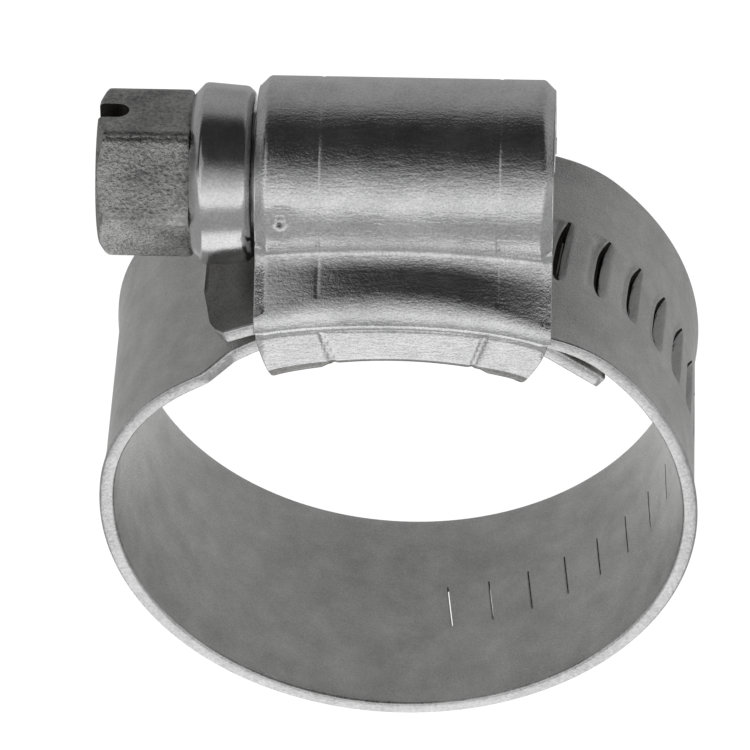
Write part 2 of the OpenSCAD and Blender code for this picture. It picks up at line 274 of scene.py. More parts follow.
def steel(name, dark, light, rough, grain, fine=9.0, pits=0.0, drawn=(1, 1, 1)):
    """Worked steel: mottled colour, uneven polish, fine grain, marks drawn out by "drawn" and small pits."""
    m, nt, bsdf = material(name, light, rough[0], 1.0)
    even, stretched = mapped(nt, (1, 1, 1)), mapped(nt, drawn)
    speck = noise(nt, even, fine, 2.0, 0.7)
    cloud = noise(nt, even, 0.55, 4.0, 0.6)
    lines = noise(nt, stretched, 6.0, 3.0, 0.6)
    mottle = math_node(nt, "MULTIPLY", math_node(nt, "ADD", speck, cloud), 0.5)
    mottle = ranged(nt, mottle, 0.36, 0.64, 0.0, 1.0)
    nt.links.new(shades(nt, mottle, dark, light), bsdf.inputs["Base Color"])
    polish = math_node(nt, "MULTIPLY", math_node(nt, "ADD", cloud, lines), 0.5)
    nt.links.new(ranged(nt, polish, 0.35, 0.65, *rough), bsdf.inputs["Roughness"])
    height = math_node(nt, "MULTIPLY", math_node(nt, "ADD", speck, lines), 0.6)
    if pits:
        dents = add(nt, "ShaderNodeTexVoronoi", Scale=1.6)
        nt.links.new(stretched, dents.inputs["Vector"])
        dent = ranged(nt, dents.outputs["Distance"], 0.0, 0.22, 0.0, 1.0)
        height = math_node(nt, "ADD", height, math_node(nt, "MULTIPLY", dent, pits))
    bump(nt, bsdf, height, grain)
    return m


HOUSING = steel("housing_steel", (0.58, 0.58, 0.59), (0.86, 0.86, 0.86), (0.17, 0.28), 0.024,
                pits=0.25, drawn=(0.25, 1, 1))
BAND = steel("band_steel", (0.62, 0.62, 0.615), (0.92, 0.92, 0.91), (0.36, 0.48), 0.045, fine=12.0)
# Band steel darkened as painted shade, for the fixed strip under the housing
BED_IN_SHADE = steel("bed_steel_in_shade", (0.40, 0.40, 0.40), (0.62, 0.62, 0.61), (0.32, 0.44), 0.02, fine=10.0)
# Band steel darkened further as painted shade: the band's tail under the screw, and the housing's rolled hem
DEEP_SHADE = steel("deep_shade_steel", (0.20, 0.195, 0.19), (0.42, 0.42, 0.41), (0.30, 0.42), 0.02)
HEX = steel("hex_steel", (0.18, 0.18, 0.18), (0.62, 0.62, 0.61), (0.28, 0.46), 0.045, fine=6.0, pits=0.5)
COLLAR = steel("collar_steel", (0.62, 0.62, 0.62), (0.82, 0.82, 0.82), (0.15, 0.24), 0.008,
               fine=8.0, drawn=(1, 0.2, 0.2))
# Darker steel as painted shade: the worm and neck inside the housing, and the housing's inner face
SHADED_STEEL = steel("shaded_steel", (0.35, 0.35, 0.35), (0.60, 0.60, 0.60), (0.28, 0.4), 0.02,
             fine=8.0, drawn=(1, 0.3, 0.3))
RIM = steel("rim_steel", (0.50, 0.50, 0.50), (0.80, 0.80, 0.80), (0.24, 0.38), 0.03, fine=7.0)
# Raw edge of a slit or a fold, in shadow
CUT_IN_SHADE = steel("cut_steel_in_shade", (0.025, 0.022, 0.02), (0.07, 0.06, 0.055), (0.5, 0.7), 0.02)


# ---------------------------------------------------------------- mesh building
def make_object(name, verts, faces, mats, slots, flat=()):
    """Object from points in mm. slots has the material of each face; those in flat are flat-shaded."""
    me = bpy.data.meshes.new(name)
    me.from_pydata([tuple(c * MM for c in v) for v in verts], [], faces)
    for m in mats:
        me.materials.append(m)
    for face, slot in zip(me.polygons, slots):
        face.material_index = slot
        face.use_smooth = slot not in flat
    me.validate()
    me.update()
    o = bpy.data.objects.new(name, me)
    bpy.context.scene.collection.objects.link(o)
    return o


def tube_faces(sections, size):
    """Faces between closed sections of so many points each."""
    faces = []
    for i in range(sections - 1):
        a, b = i * size, (i + 1) * size
        for k in range(size):
            k2 = (k + 1) % size
            faces.append((a + k, a + k2, b + k2, b + k))
    return faces


def caps(sections, size):
    """The two end faces of a tube."""
    last = (sections - 1) * size
    return [tuple(range(size))[::-1], tuple(last + k for k in range(size))]


def mend_normals(o):
    """Welds points that coincide and turns all faces outwards."""
    bm = bmesh.new()
    bm.from_mesh(o.data)
    bmesh.ops.remove_doubles(bm, verts=bm.verts, dist=1e-6)
    bmesh.ops.recalc_face_normals(bm, faces=bm.faces)
    bm.to_mesh(o.data)
    bm.free()


# ---------------------------------------------------------------- band
RIM_R = 0.13  # rounding of the rims
FLARE_Y = 4.2  # the turned-out edges begin here
LENS = 0.26  # how far the middle of a slit is pulled open
SLOT_L, OPEN = 2.7, 0.06  # length and width of the opening that goes right through
# Raised lip and sunk foot of a slit; rise of the inner face under a thread
LIP, SINK, SWELL = 0.13, 0.12, 0.035
THREAD_MARKS = (-THREAD_W - 0.1, -THREAD_W + 0.1, -THREAD_FLOOR, -0.32, -0.22, -SLIT, -OPEN, 0.0, 0.12)
NOTCH_S, NOTCH_RUN = STRIP_S1 - 4.534, 1.35  # where the strip is cut back at its end
# Half width of the tail by length from its tip: blunt rounded tip, narrow run, full width
TAIL_EDGE = [(-0.34, 0.6), (0.46, 4.6), (0.8, 5.2), (1.22, 5.6), (3.89, 5.6), (6.46, HALF)]


def flare(y):
    """How far the band's turned-out edge stands above the flat."""
    t = max(0.0, (abs(y) - FLARE_Y) / (HALF - FLARE_Y))
    return EDGE_LIFT * t * t


def arch(y):
    """Depth of a thread across the band: full in the middle, none at the ends."""
    return max(0.0, 1 - (abs(y) / (THREAD_L / 2)) ** 3.2)


def thread_depth(d, y):
    """Depth of a pressed thread at d from its steep wall."""
    if d > 0:
        return 0.0
    ramp_down = ramp(d, -THREAD_W - 0.1, -THREAD_FLOOR)
    lip = ramp(d, -0.46, -0.24) * (1 - ramp(d, -0.2, -SLIT))
    foot = ramp(d, -SLIT - 0.02, -OPEN)
    return arch(y) * (THREAD_D * ramp_down - LIP * lip + SINK * foot)


def thread_pull(d, y):
    """How far the sheet beside a slit is drawn back along the band, as a share of the most."""
    return arch(y) * ramp(d, -THREAD_W, -SLIT) * (1 - ramp(d, -SLIT, 0.0))


def thread_swell(d, y):
    """How far the inner face stands in under a thread, as a share of the most."""
    return arch(y) * ramp(d, -THREAD_W, -0.4) if d <= 0 else 0.0


def warp(s, y):
    """The slant of the threads, faded out towards the band's edges and past the last thread."""
    fade = 1 - ramp(abs(y), 2.7, 5.6)
    fade *= 1 - ramp(s, THREADS[-1] + 1.5, THREADS[-1] + 5.3)
    fade *= ramp(s, STRIP_S0 + 0.2, STRIP_S0 + 2.0)
    return SLANT * y * fade


def notched_half(s):
    """Half width of the strip: full, and cut back where it enters the housing."""
    return HALF - NOTCH * max(0.0, min(1.0, (s - NOTCH_S) / NOTCH_RUN))


def tail_half(s):
    """Half width of the strip along its tail."""
    d = s - STRIP_S0
    for (d0, y0), (d1, y1) in zip(TAIL_EDGE, TAIL_EDGE[1:]):
        if d <= d1:
            return y0 + (y1 - y0) * max(0.0, d - d0) / (d1 - d0)
    return HALF


def strip_stations(s0, s1, live):
    """Lengths at which the strip's section is drawn."""
    marks = [STRIP_S0 + d for d, _ in TAIL_EDGE] + [t + d for t in live for d in THREAD_MARKS]
    return steps([s0, s1] + [s for s in marks if s0 < s < s1], 0.28)


def across_stations(live):
    """Places across the strip, closer at its edges and at the ends of its threads."""
    edge = HALF - RIM_R
    near = [0, HALF - EDGE_W - 0.25, edge - 0.25, edge]
    if live:
        h = THREAD_L / 2
        near += [SLOT_L / 2, h - 0.3, h - 0.12, h, h + 0.15]
    return steps([side * y for y in near for side in (-1, 1)], 0.3)


def strip_section(ys):
    """Plain section of the strip, round from the outer face: (face or rim, across, out, cell)."""
    edge, mid = HALF - RIM_R, BAND_T / 2 - RIM_R
    turns = [math.radians(a) for a in (30, 60, 90)]
    rim = [(edge + RIM_R * math.sin(a), mid + RIM_R * math.cos(a)) for a in turns]
    rim += [(y, -n) for y, n in reversed(rim)]
    last = len(ys) - 1
    loop = [("outer", y, BAND_T / 2, j) for j, y in enumerate(ys)]
    loop += [("rim", y, n, None) for y, n in rim]
    loop += [("inner", ys[j], -BAND_T / 2, j) for j in range(last, -1, -1)]
    loop += [("rim", -y, n, None) for y, n in reversed(rim)]
    return loop


def strip_vertex(kind, s, y, n, live):
    """Where a point of the plain section comes to lie at a length along the band."""
    shrink, cut = notched_half(s) / HALF, tail_half(s)
    flared = max(0.0, min(1.0, (shrink - 0.86) / 0.14))
    if kind == "rim":
        y = math.copysign(min(abs(y) * shrink, cut + abs(y) - HALF), y)
        return strip_point(s + warp(s, y), y, n + flare(min(HALF, cut)) * flared)
    reach = cut - RIM_R
    y = max(-reach, min(reach, y * shrink))
    n += flare(y / shrink) * flared
    pull = sum(thread_pull(s - t, y) for t in live)
    if kind == "outer":
        at = s + warp(s, y) - LENS * pull
        return strip_point(at, y, n - max([thread_depth(s - t, y) for t in live], default=0.0))
    at = s + warp(s, y) - 0.03 * pull
    return strip_point(at, y, n - SWELL * max([thread_swell(s - t, y) for t in live], default=0.0))


def strip_skin(ss, ys, loop, live):
    """Faces along the strip, with their materials: skins, rims, and the walls of the openings."""
    n, count = len(ys), len(loop)
    outer = {j: k for k, (kind, _, _, j) in enumerate(loop) if kind == "outer"}
    inner = {j: k for k, (kind, _, _, j) in enumerate(loop) if kind == "inner"}
    faces = []

    def middle(i, j):
        return (ss[i] + ss[i + 1]) / 2, (ys[j] + ys[j + 1]) / 2

    def is_open(i, j):
        if not (0 <= i < len(ss) - 1 and 0 <= j < n - 1):
            return False
        s, y = middle(i, j)
        return abs(y) < SLOT_L / 2 and any(t - OPEN < s < t for t in live)

    def is_slit(i, j):
        s, y = middle(i, j)
        return abs(y) < THREAD_L / 2 and any(t - SLIT < s < t for t in live)

    for i in range(len(ss) - 1):
        a, b = i * count, (i + 1) * count
        for k in range(count):
            k2 = (k + 1) % count
            corners = (a + k, b + k, b + k2, a + k2)
            kind, j, j2 = loop[k][0], loop[k][3], loop[k2][3]
            if j is None or j2 is None:
                faces.append((corners, 1))
            elif not is_open(i, min(j, j2)):
                # outer faces over a slit take the near-black cut steel: raw edge, and painted shade
                faces.append((corners, 2 if kind == "outer" and is_slit(i, min(j, j2)) else 0))
        for j in range(n - 1):
            if not is_open(i, j):
                continue
            o0, o1, i0, i1 = outer[j], outer[j + 1], inner[j], inner[j + 1]
            if not is_open(i - 1, j):
                faces.append(((a + o0, a + o1, a + i1, a + i0), 2))
            if not is_open(i + 1, j):
                faces.append(((b + o1, b + o0, b + i0, b + i1), 2))
            if not is_open(i, j - 1):
                faces.append(((b + o0, a + o0, a + i0, b + i0), 2))
            if not is_open(i, j + 1):
                faces.append(((a + o1, b + o1, b + i1, a + i1), 2))
    return faces


def strip_end(base, ys, loop, ahead):
    """Faces that close a free end of the strip; ahead is true at its far end."""
    n = len(ys)
    inner_at = {j: k for k, (kind, _, _, j) in enumerate(loop) if kind == "inner"}
    faces = []
    for j in range(n - 1):
        q = (base + j, base + inner_at[j], base + inner_at[j + 1], base + j + 1)
        faces.append((q[::-1] if ahead else q, 1))
    for side, j in ((1, n - 1), (-1, 0)):
        rim = [base + k for k, (kind, y, _, _) in enumerate(loop) if kind == "rim" and y * side > 0]
        q = [base + j] + rim[::side] + [base + inner_at[j]]
        faces.append((tuple(q if (side == 1) == ahead else q[::-1]), 1))
    return faces


def build_strip(name, s0, s1, threaded, skin=BAND):
    """Piece of the band between two lengths; only the free ends of the whole strip are closed."""
    live = [t for t in THREADS if s0 - 1.6 < t < s1 + 1.6] if threaded else []
    ss, ys = strip_stations(s0, s1, live), across_stations(live)
    loop = strip_section(ys)
    verts = [strip_vertex(kind, s, y, n, live) for s in ss for kind, y, n, _ in loop]
    skins = strip_skin(ss, ys, loop, live)
    if s0 == STRIP_S0:
        skins += strip_end(0, ys, loop, False)
    if s1 == STRIP_S1:
        skins += strip_end((len(ss) - 1) * len(loop), ys, loop, True)
    faces, slots = [f for f, _ in skins], [m for _, m in skins]
    return make_object(name, verts, faces, [skin, RIM, CUT_IN_SHADE], slots, flat=(2,))


# The links meet at flex lines; each piece spans one, and the first and last ride a single body.
FLEX_S = [0.0, 3 * THREAD_P] + [3 * THREAD_P + 4 * THREAD_P * i for i in range(1, 7)]
CUTS = [-3.0] + [(a + b) / 2 for a, b in zip(FLEX_S, FLEX_S[1:])] + [FLEX_S[-1] + 3.0]
BODIES = ["band_tail"] + ["band_link_%d" % i for i in range(1, 9)]
THREADED_S = 34.0  # no threads past this flex line


def mid_line(s):
    return Vector(strip_point(s, 0, 0)) * MM


# the tail is drawn in the darkest steel, painted shade under the screw
tail = build_strip("band_strip_tail", STRIP_S0, CUTS[0], True, DEEP_SHADE)
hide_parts("band_tail")
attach(tail, "band_tail")
for i, s in enumerate(FLEX_S):
    piece = build_strip("band_strip_%d" % (i + 1), CUTS[i], CUTS[i + 1], s < THREADED_S)
    reach = 1.3 if i < 2 else 2.2
    mid_line(s - reach)
    mid_line(s + reach)
    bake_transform(piece)
    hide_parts(BODIES[i + 1])
neck = build_strip("band_strip_neck", CUTS[-1], STRIP_S1, False)
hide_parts("band_link_8")
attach(neck, "band_link_8")


# ---------------------------------------------------------------- fixed end and tongue
def build_bed():
    """The strip that the housing is closed on, as wide as the band's cut-back neck."""
    half, t = HALF - NOTCH, BAND_T / 2
    ease, ease_in = 0.1, 0.03  # rounding of the edges, and where it is halfway round
    ys = steps([ease - half, half - ease], 0.5)
    side = [(half - ease_in, t - ease_in), (half, t - ease)]
    side += [(y, -n) for y, n in reversed(side)]
    far_side = [(-y, n) for y, n in reversed(side)]
    loop = [(y, t) for y in ys] + side + [(y, -t) for y in reversed(ys)] + far_side
    ss = steps([0, BED_L], 0.3)
    verts = [path_point(BED, s, y, n) for s in ss for y, n in loop]
    faces, slots = [], []
    for corners in tube_faces(len(ss), len(loop)):
        a, b, c, d = corners
        faces.append((a, d, c, b))
        slots.append(1 if max(abs(verts[k][1]) for k in corners) > half - ease + 0.01 else 0)
    faces += caps(len(ss), len(loop))
    # the fixed strip's band steel is darkened as painted shade under the housing
    mats = [BED_IN_SHADE, RIM, BED_IN_SHADE]
    return make_object("band_fixed_strip", verts, faces, mats, slots + [2, 2], flat=(2,))


bed = build_bed()
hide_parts("band_fixed_end")
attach(bed, "housing")


# ---------------------------------------------------------------- housing
HEM_R = BED_R - BAND_T / 2 - 0.65  # radius of the skirt's lower edge, about the bed's centre
CLEAR_Y = 6.42  # the skirt's inner face keeps this far from the middle, clear of the band
END_RUN = 0.5  # the last stretch of each end, which is drawn in
END_DRAW = {"barrel": 1.0, "hollow": 0.55, "hip": 0.3, "skirt": 0.3}
PRESS_X = (-3.62, 4.75)  # soft lines left by the press
DIMPLE_X, DIMPLE_E = -5.35, 14.0
DEGREE_L = BARREL_R / 57.3  # length round the barrel to a degree
NOTCHES = ((-3.25, 0.3), (4.05, -0.3))  # cuts between the feet and the middle: place and lean
FOOT_R, FOOT_Z = 1.0, 12.9  # rounding of the feet, and the height where they begin to draw in
FOOT_X0, FOOT_X1 = -4.6, 5.2
# the lowest rows of each skirt, at the rolled hem, are painted in shade
SKIRT_ROWS, HEM_SHADE_ROWS = 30, 7


def sheet_bend(start, length, e0, e1, count, part):
    """Points down a stretch of sheet whose outward normal turns evenly from e0 to e1."""
    y, z = start[:2]
    points = []
    for k in range(count):
        e = math.radians(e0 + (e1 - e0) * (k + 0.5) / count)
        y += math.sin(e) * length / count
        z -= math.cos(e) * length / count
        points.append((y, z, e0 + (e1 - e0) * (k + 1) / count, part))
    return points


def half_section(x):
    """Outline from the crown down one side at x: (across, above the axis, normal, part of the housing).
    The sheet leaves the barrel in a tight crease, runs out in a hollow and rolls over a soft hip."""
    off = (x - 0.2) / 6.9
    bow, right = min(1.0, off * off), max(0.0, off) ** 2
    e_barrel = -1.0 - 6.0 * bow - 2.0 * right
    e_crease = 37.0 - 4.0 * bow
    e_hollow = 59.0 - 12.0 * bow
    e_hip = 14.0
    barrel = []
    for i in range(61):
        e = 90 + (e_barrel - 90) * i / 60
        a = math.radians(e)
        barrel.append((BARREL_R * math.cos(a), BARREL_R * math.sin(a), e, "barrel"))
    crease_l = (0.75 - 0.2 * bow) * math.radians(e_crease - e_barrel)
    crease = sheet_bend(barrel[-1], crease_l, e_barrel, e_crease, 12, "hollow")
    slope = sheet_bend(crease[-1], 0.75 + 0.6 * right, e_crease, e_hollow, 10, "hollow")
    # the straight part of the hollow takes up what the slope and the hip leave of the way out to the skirt
    hip_l = (2.3 - 0.7 * bow) * math.radians(e_hollow - e_hip)
    slope_end = sheet_bend(crease[-1], 0.75 + 0.6 * right, e_crease, e_hollow, 8, "hollow")[-1]
    hip_y = sheet_bend(slope_end, hip_l, e_hollow, e_hip, 20, "hip")[-1][0]
    rest = max(0.05, (SKIRT_Y - 0.02 - hip_y) / math.sin(math.radians(e_hollow)))
    hollow = sheet_bend(slope[-1], rest, e_hollow, e_hollow, 6, "hollow")
    return barrel + crease + slope + hollow + sheet_bend(hollow[-1], hip_l, e_hollow, e_hip, 22, "hip")


def hem_z(x):
    """Lower edge of the skirt: the curve of the band."""
    return BED_C[1] + math.sqrt(HEM_R**2 - x * x)


def end_draw(x, part):
    """How far the sheet is drawn in near the ends of the housing."""
    return END_DRAW[part] * (max(0.0, HOUSE_X0 + END_RUN - x) + max(0.0, x - HOUSE_X1 + END_RUN))


def house_push(x, z, e, side, part):
    """How far the sheet stands off its plain section, outward positive."""
    push = -end_draw(x, part)
    if part == "barrel" and side < 0:
        r = math.hypot(x - DIMPLE_X, (e - DIMPLE_E) * DEGREE_L)
        push -= 0.3 * (1 - ramp(r, 0.04, 0.42)) + 0.05 * (1 - ramp(r, 0.4, 1.1))
    if part != "hip":
        push -= sum(0.03 * bell(x, press_x, 0.08) for press_x in PRESS_X)
        # small ribs along the crease, uneven in their spacing
        rib = 0.5 + 0.5 * math.sin(x * 2 * math.pi / 0.9 + 0.8 * math.sin(x * 1.7))
        push += 0.012 * bell(z, -0.1, 0.45) * rib * ramp(x, -3.6, -2.6) * (1 - ramp(x, 4.6, 5.4))
    return push


def foot_x(x, z):
    """The lower corners of the skirt are rounded off: its ends draw in towards the hem."""
    low = max(0.0, FOOT_Z - z)
    near = max(0.0, min(1.0, 1 - (z - hem_z(x)) / FOOT_R))
    nip = FOOT_R * (1 - math.sqrt(1 - near * near))
    left = HOUSE_X0 + 0.12 * low + 0.045 * low * low + nip
    right = HOUSE_X1 - 0.10 * low - 0.10 * low * low - nip
    if x < FOOT_X0:
        return left + (x - HOUSE_X0) * (FOOT_X0 - left) / (FOOT_X0 - HOUSE_X0)
    if x > FOOT_X1:
        return right - (HOUSE_X1 - x) * (right - FOOT_X1) / (HOUSE_X1 - FOOT_X1)
    return x


def skirt_place(x, share, y0, z0):
    """Half width and height of the skirt at a share of its way from the hip to the hem."""
    hem = hem_z(x)
    z = z0 + (hem - z0) * share
    y = y0 + (SKIRT_Y - y0) * ramp(z0 - z, 0.0, 0.35)
    # crease under the hip, and the slanted notches beside the feet
    y -= 0.08 * bell(z0 - z, 0.16, 0.09)
    for notch_x, lean in NOTCHES:
        y -= 0.13 * bell(x, notch_x + lean * (12.1 - z), 0.1) * ramp(13.0 - z, 0.0, 0.5)
    # the hem is rolled under, in the middle a little more than at the feet
    middle = ramp(x, -3.5, -3.0) * (1 - ramp(x, 3.9, 4.4))
    roll = 0.42 + 0.3 * middle
    under = max(0.0, (roll - (z - hem)) / roll)
    y -= 0.62 * under * under * (0.75 + 0.25 * middle)
    return y - end_draw(x, "skirt"), z


def housing_side(x, half, side):
    """Outer points at x, from the crown down one side to the hem."""
    points = []
    for y, z, e, part in half:
        push = house_push(x, z, e, side, part)
        points.append(Vector((
            x,
            side * (y + push * math.cos(math.radians(e))),
            AXIS_Z + z + push * math.sin(math.radians(e)),
        )))
    y0, z0 = half[-1][0], AXIS_Z + half[-1][1]
    for row in range(1, SKIRT_ROWS + 1):
        # the place along the foot and the height depend on each other
        at = x
        for _ in range(3):
            y, z = skirt_place(at, row / SKIRT_ROWS, y0, z0)
            at = foot_x(x, z)
        points.append(Vector((at, side * y, z)))
    return points


def inner_skin(outer):
    """The same points set in by one thickness of sheet, clear of the band along the skirts."""
    n = len(outer)
    points = []
    for k, p in enumerate(outer):
        a, b = outer[max(0, k - 2)], outer[min(n - 1, k + 2)]
        ty, tz = b.y - a.y, b.z - a.z
        length = math.hypot(ty, tz)
        y = p.y + tz / length * SHEET
        if min(k, n - 1 - k) <= SKIRT_ROWS:
            y = math.copysign(max(abs(y), CLEAR_Y), p.y)
        points.append((p.x, y, p.z - ty / length * SHEET))
    return points


def housing_stations():
    """Places along the housing, close together at its ends, its press lines and its dimple."""
    marks = [HOUSE_X0 + d for d in (0, 0.06, 0.44, 0.56)] + [HOUSE_X1 - d for d in (0, 0.06, 0.44, 0.56)]
    marks += [-5.8, -4.9, -3.8, -3.4, 3.6, 4.6, 4.9]
    marks += [DIMPLE_X - 0.45 + 0.075 * i for i in range(13)]
    marks += [press_x + 0.05 * i for press_x in PRESS_X for i in range(-3, 4)]
    return steps(marks, 0.14)


def build_housing():
    """Pressed sheet: outer skin, inner skin, and the cut edges between them."""
    outer, inner = [], []
    for x in housing_stations():
        half = half_section(x)
        near, far = housing_side(x, half, -1), housing_side(x, half, 1)
        outer.append(near[::-1] + far[1:])
        inner.append(inner_skin(outer[-1]))
    m, n = len(outer), len(outer[0])
    verts = [tuple(p) for row in outer for p in row] + [p for row in inner for p in row]

    def o(i, k):
        return i * n + k

    def q(i, k):
        return (m + i) * n + k

    faces, slots = [], []
    for i in range(m - 1):
        for k in range(n - 1):
            faces.append((o(i, k), o(i + 1, k), o(i + 1, k + 1), o(i, k + 1)))
            # the rows at the rolled hem take the darkest steel as painted shade
            slots.append(3 if min(k, n - 2 - k) < HEM_SHADE_ROWS else 0)
            faces.append((q(i, k), q(i, k + 1), q(i + 1, k + 1), q(i + 1, k)))
            # the inner skin takes the darker steel as painted shade
            slots.append(1)
    last = m - 1
    for k in range(n - 1):
        faces.append((o(0, k), o(0, k + 1), q(0, k + 1), q(0, k)))
        faces.append((o(last, k), q(last, k), q(last, k + 1), o(last, k + 1)))
    for i in range(last):
        faces.append((o(i, 0), q(i, 0), q(i + 1, 0), o(i + 1, 0)))
        faces.append((o(i, n - 1), o(i + 1, n - 1), q(i + 1, n - 1), q(i, n - 1)))
    slots += [2] * (len(faces) - len(slots))
    return make_object("housing_shell", verts, faces, [HOUSING, SHADED_STEEL, RIM, DEEP_SHADE], slots, flat=(2,))


shell = build_housing()
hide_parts("housing")
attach(shell, "housing")


def end_wall(name, x0, hole_r):
    """Turned-in end of the barrel: a flat wall with the round hole the screw runs in, open below."""
    x1, rim_r, open_z, count = x0 + 0.6, BARREL_R - 0.45, -2.4, 97
    section = [(x0, hole_r + 0.1), (x0, rim_r), (x1, rim_r), (x1, hole_r), (x0 + 0.1, hole_r)]
    a0 = math.asin(open_z / rim_r)
    verts = []
    for k in range(count):
        a = a0 + (math.pi - 2 * a0) * k / (count - 1)
        verts += [(x, r * math.cos(a), AXIS_Z + r * math.sin(a)) for x, r in section]
    faces = [(a, d, c, b) for a, b, c, d in tube_faces(count, len(section))] + caps(count, len(section))
    return make_object(name, verts, faces, [HOUSING], [0] * len(faces), flat=(0,))


def hem_lip(name, side):
    """The hem folded in under the fixed end."""
    section = [(6.6, 0.02), (6.5, 0.62), (5.35, 0.62), (5.25, 0.52), (5.25, 0.12), (5.35, 0.02)]
    xs = steps([-3.25, 5.55], 0.3)
    verts = []
    for x in xs:
        for y, rise in section:
            verts.append((x, side * y, BED_C[1] + math.sqrt((HEM_R + 0.02 + rise) ** 2 - x * x)))
    faces = [(a, d, c, b) for a, b, c, d in tube_faces(len(xs), len(section))]
    faces += caps(len(xs), len(section))
    if side < 0:
        faces = [f[::-1] for f in faces]
    return make_object(name, verts, faces, [HOUSING], [0] * len(faces), flat=(0,))


for piece in (
    end_wall("housing_end_wall_head", HOUSE_X0 + 0.02, 2.98),
    end_wall("housing_end_wall_tip", HOUSE_X1 - 0.62, 2.38),
    hem_lip("housing_hem_near", -1),
    hem_lip("housing_hem_far", 1),
):
    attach(piece, "housing")


# ---------------------------------------------------------------- screw
HEX_AF, HEAD_X, HEX_L, HEX_TURN = 7.0, screw_lo.x, 4.37, 52.0
COLLAR_X = HEAD_X + HEX_L
SLOT_W, SLOT_D = 1.1, 1.45
WORM_X0, WORM_X1, WORM_R, WORM_D, CREST, FLANK = -5.3, 6.4, 3.5, 0.45, 0.36, 0.22
# The worm's crests pass the threads of the band at their middle depth, so its pitch is spread by the bow.
MESH_R = SADDLE_R + (BAND_T - THREAD_D) / 2
WORM_P = THREAD_P * MESH_R / SADDLE_R
MESH_A = FILLET_A0 - math.degrees((3 * THREAD_P - THREAD_S0 - FILLET_HALF) / SADDLE_R)
CREST_X = SADDLE_C[0] + MESH_R * math.sin(math.radians(MESH_A)) - CREST / 2 - 0.2


def about_axis(x, r, a):
    """Point at radius r and angle a (radians, from +Y) about the screw's axis."""
    return x, r * math.cos(a), AXIS_Z + r * math.sin(a)


def lathe(name, profile, mats, slot_of, sharp):
    """Turned body about the screw's axis; the profile is (x, radius)."""
    count = 128
    turns = [2 * math.pi * k / count for k in range(count)]
    verts = [about_axis(x, r, a) for x, r in profile for a in turns]
    faces = tube_faces(len(profile), count)
    o = make_object(name, verts, faces, mats, [slot_of(i // count) for i in range(len(faces))])
    o.data.set_sharp_from_angle(angle=math.radians(sharp))
    return o


def hex_radius(a):
    """Radius of the hexagon at an angle in degrees from a corner; the corners are softened."""
    a = abs((a + 30) % 60 - 30)
    return HEX_AF / 2 / math.cos(math.radians(30 - a)) - 0.1 * (1 - ramp(a, 0.0, 4.5))


def hex_section_radius(x, a):
    """Radius of the head at x from its end: the hexagon, chamfered by a cone, and eased at the collar."""
    soft = 0.05
    hexagon, cone = hex_radius(a), HEX_AF / 2 - 0.09 + x * math.sqrt(3)
    r = min(hexagon, cone) - soft * math.exp(-abs(hexagon - cone) / (2 * soft))
    return r - 0.1 * max(0.0, (x - HEX_L + 0.15) / 0.15)


def build_hex():
    near_corner = (0, 1, 2, 3.2, 4.5, 6, 8, 12, 18, 24)
    offsets = [-30] + [-d for d in near_corner[:0:-1]] + list(near_corner)
    angles = [60 * k + d for k in range(6) for d in offsets]
    turned = [math.radians(a + HEX_TURN) for a in angles]
    xs = [0.0, 0.1, 0.22, 0.36, 0.5, 0.66, 0.84, 1.1, 1.6, 2.2, 2.8, 3.4, 3.9]
    xs += [HEX_L - 0.22, HEX_L - 0.1, HEX_L]
    face_x = HEAD_X + 0.02
    rings = [[about_axis(face_x, r, t) for t in turned] for r in (0.0, 1.2, 2.2, 2.9, HEX_AF / 2 - 0.17)]
    for x in xs:
        at = face_x + min(x, HEX_L - 0.02)
        rings.append([about_axis(at, hex_section_radius(x, a), t) for a, t in zip(angles, turned)])
    faces = tube_faces(len(rings), len(angles)) + caps(len(rings), len(angles))[1:]
    verts = [p for ring in rings for p in ring]
    o = make_object("screw_hex_head", verts, faces, [HEX, CUT_IN_SHADE], [0] * len(faces))
    mend_normals(o)
    return o


def build_slot_cutter():
    """Round-bottomed cutter for the screwdriver slot."""
    r, depth, reach = SLOT_W / 2, SLOT_D - SLOT_W / 2, 4.5
    turns = [math.radians(15 * i - 75) for i in range(11)]
    section = [(-1.0, -r), (depth, -r)] + [(depth + r * math.cos(t), r * math.sin(t)) for t in turns]
    section += [(depth, r), (-1.0, r)]
    turn = math.radians(HEX_TURN + 30)
    c, s = math.cos(turn), math.sin(turn)
    verts = []
    for y in (-reach, reach):
        verts += [(HEAD_X + x, y * c - w * s, AXIS_Z + y * s + w * c) for x, w in section]
    faces = tube_faces(2, len(section)) + caps(2, len(section))
    o = make_object("slot_cutter", verts, faces, [CUT_IN_SHADE], [0] * len(faces))
    mend_normals(o)
    return o


def cut_slot(head):
    """Cuts the slot into the head; the cutter lends its walls their dark material, painted shade in the
    slot.
    """
    cutter = build_slot_cutter()
    mod = head.modifiers.new("slot", "BOOLEAN")
    mod.operation = "DIFFERENCE"
    mod.solver = "EXACT"
    mod.object = cutter
    bpy.context.view_layer.update()
    cut = bpy.data.meshes.new_from_object(head.evaluated_get(bpy.context.evaluated_depsgraph_get()))
    head.modifiers.clear()
    head.data = cut
    bpy.data.objects.remove(cutter)
    for p in head.data.polygons:
        p.use_smooth = True
    head.data.set_sharp_from_angle(angle=math.radians(32))


